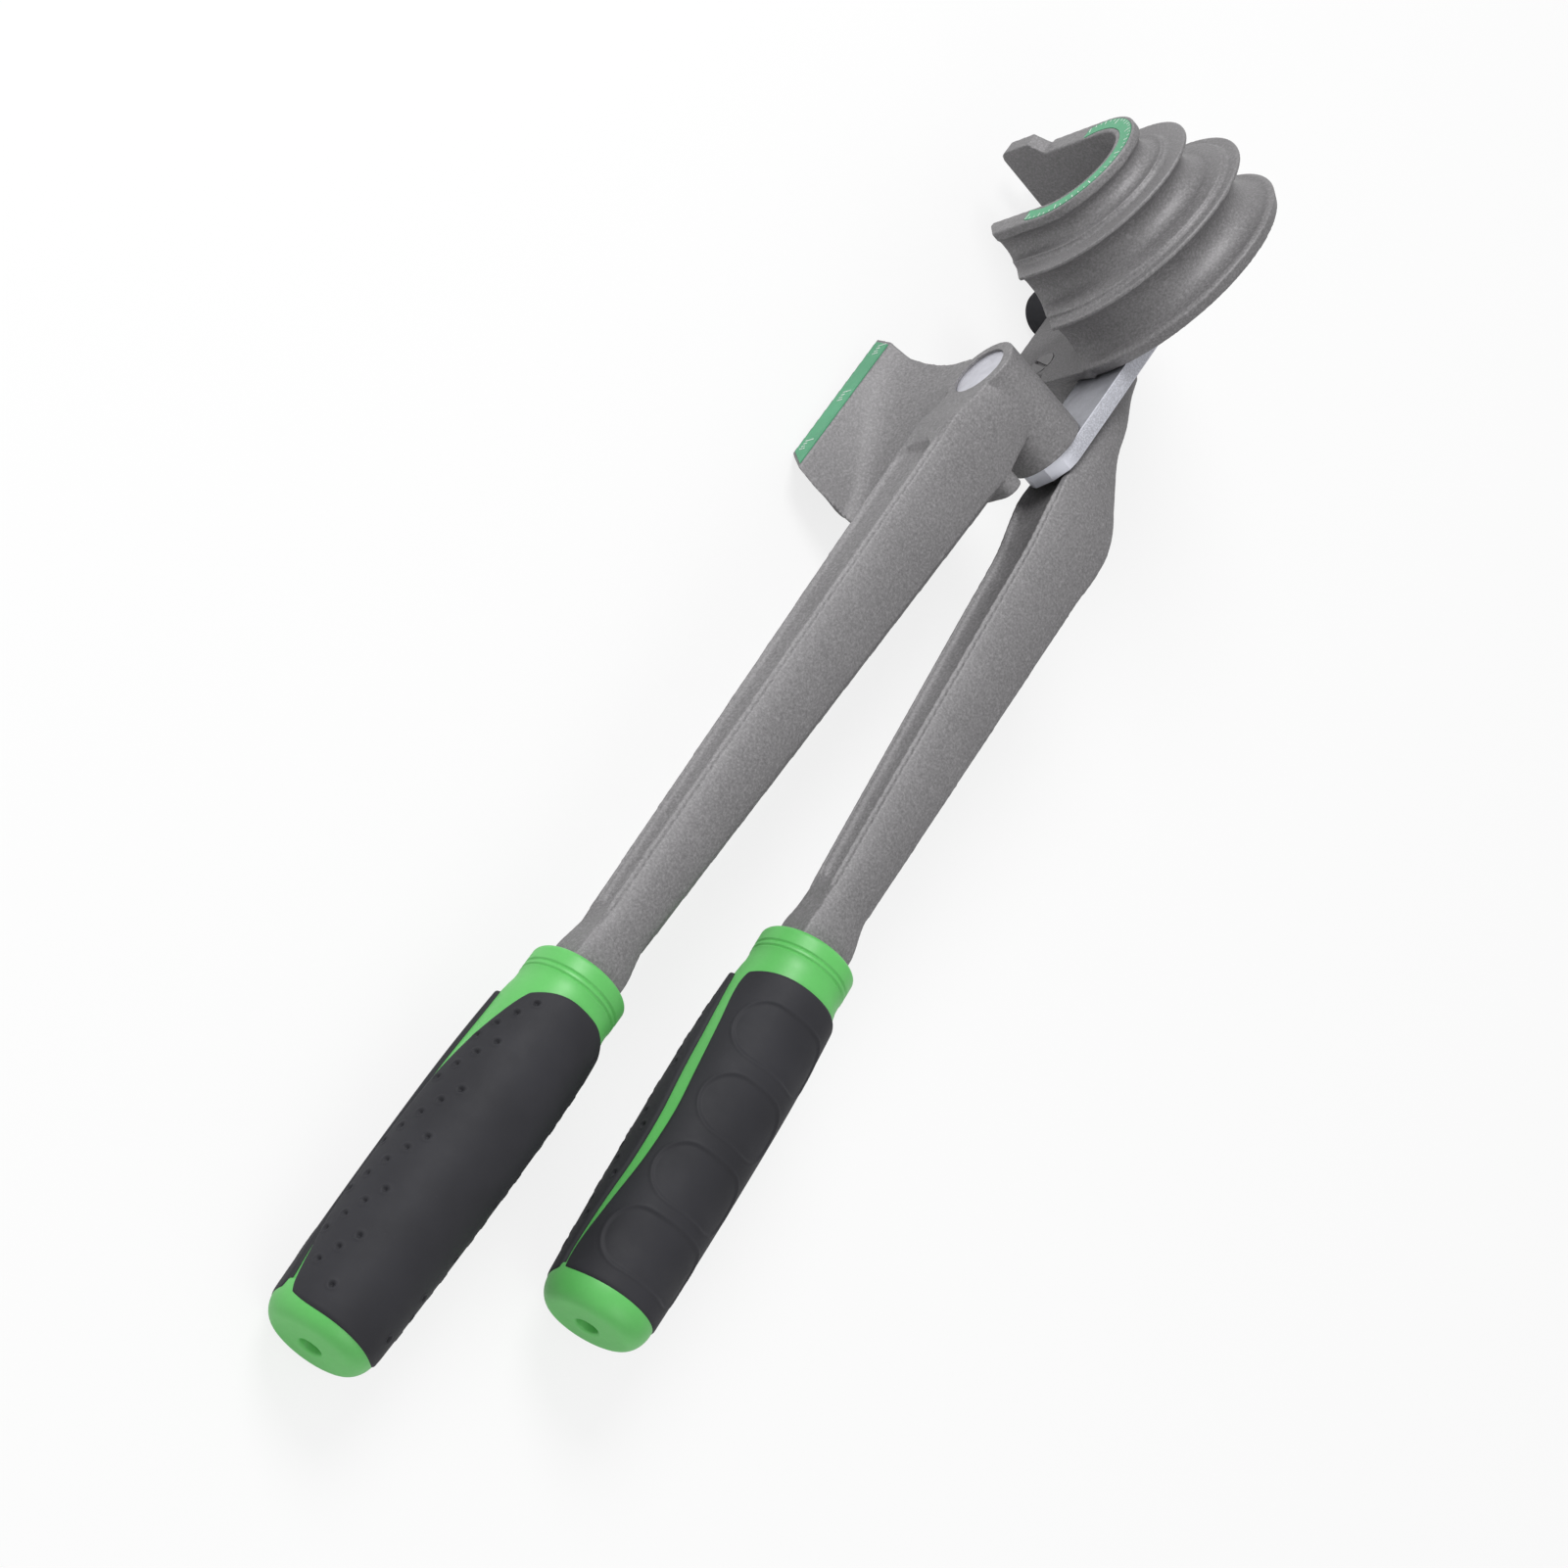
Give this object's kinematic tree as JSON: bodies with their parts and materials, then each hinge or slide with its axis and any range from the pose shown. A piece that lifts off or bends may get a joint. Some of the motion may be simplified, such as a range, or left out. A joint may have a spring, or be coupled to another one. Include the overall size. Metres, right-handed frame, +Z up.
{
  "type": "tube bender",
  "caption": "Lever tube bender with a stacked half-round die for different tube sizes, a hinged link, a stepped forming shoe and padded handles.",
  "frame": {"origin": "point where the hinge axis of the die leaves the underside of its foot flange", "axes": "+X along the handles to the grips, +Y along the hinge axes from the top rim of the die to the link, +Z up off the bench"},
  "size_m": [0.4368, 0.0928, 0.0925],
  "materials": {
    "casting": "matt grey paint over a blasted casting",
    "scale": "green printed film",
    "zinc_steel": "zinc plated",
    "bright_steel": "turned bright",
    "green_plastic": "satin moulded",
    "black_rubber": "soft overmoulded"
  },
  "bodies": {
    "die_handle": {"bending_die": "casting", "angle_label": "scale", "pivot_bolt": "zinc_steel", "pivot_washer": "zinc_steel", "pivot_nut": "zinc_steel", "die_arm": "casting", "tail_screws": "zinc_steel", "tail_foot": "black_rubber", "latch_pin": "zinc_steel", "die_grip_sleeve": "green_plastic", "die_grip_palm_pad": "black_rubber", "die_grip_finger_pad": "black_rubber", "die_grip_end_cap": "green_plastic"},
    "latch": {"tube_latch": "zinc_steel"},
    "link": {"link_plate": "zinc_steel", "shoe_pin": "bright_steel"},
    "shoe_handle": {"shoe_arm": "casting", "shoe_bushing": "bright_steel", "shoe_label": "scale", "shoe_grip_sleeve": "green_plastic", "shoe_grip_palm_pad": "black_rubber", "shoe_grip_finger_pad": "black_rubber", "shoe_grip_end_cap": "green_plastic"}
  },
  "joints": [
    {"name": "link_swing", "type": "hinge", "parent": "die_handle", "child": "link", "pos_m": [0, 0, 0], "axis": [0, -1, 0], "range_deg": [0, 180]},
    {"name": "shoe_swing", "type": "hinge", "parent": "link", "child": "shoe_handle", "pos_m": [0.06696, 0, -0.0068], "axis": [0, 1, 0], "range_deg": [-90, 90]},
    {"name": "latch_swing", "type": "hinge", "parent": "die_handle", "child": "latch", "pos_m": [-0.02801, 0, -0.02831], "axis": [0, 1, 0], "range_deg": [0, 25]}
  ]
}
